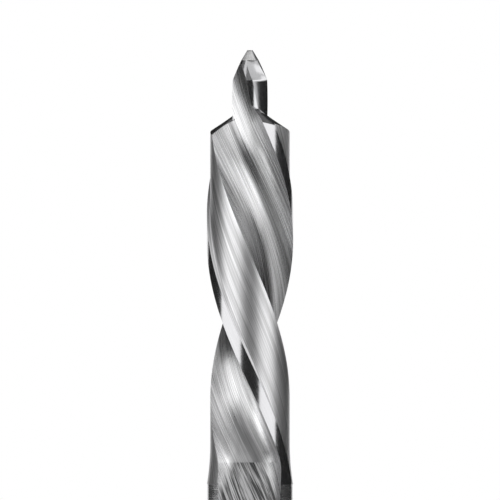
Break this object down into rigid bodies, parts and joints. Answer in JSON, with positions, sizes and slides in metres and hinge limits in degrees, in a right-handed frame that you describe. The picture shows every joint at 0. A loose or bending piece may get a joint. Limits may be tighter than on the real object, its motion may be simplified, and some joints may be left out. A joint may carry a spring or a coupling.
{
  "type": "step drill bit",
  "caption": "Left-hand step drill bit: pointed pilot, relieved shoulder, helical flutes with raised margins, and a plain round shank.",
  "frame": {"origin": "middle of the shank's flat end, which the drill stands on", "axes": "+Z along the drill's axis towards its tip, -Y towards the viewer of the picture"},
  "size_m": [0.0094, 0.0094, 0.095],
  "materials": {
    "ground_steel": "ground, with polished margins"
  },
  "bodies": {
    "root": {"step_drill": "ground_steel"}
  },
  "joints": []
}
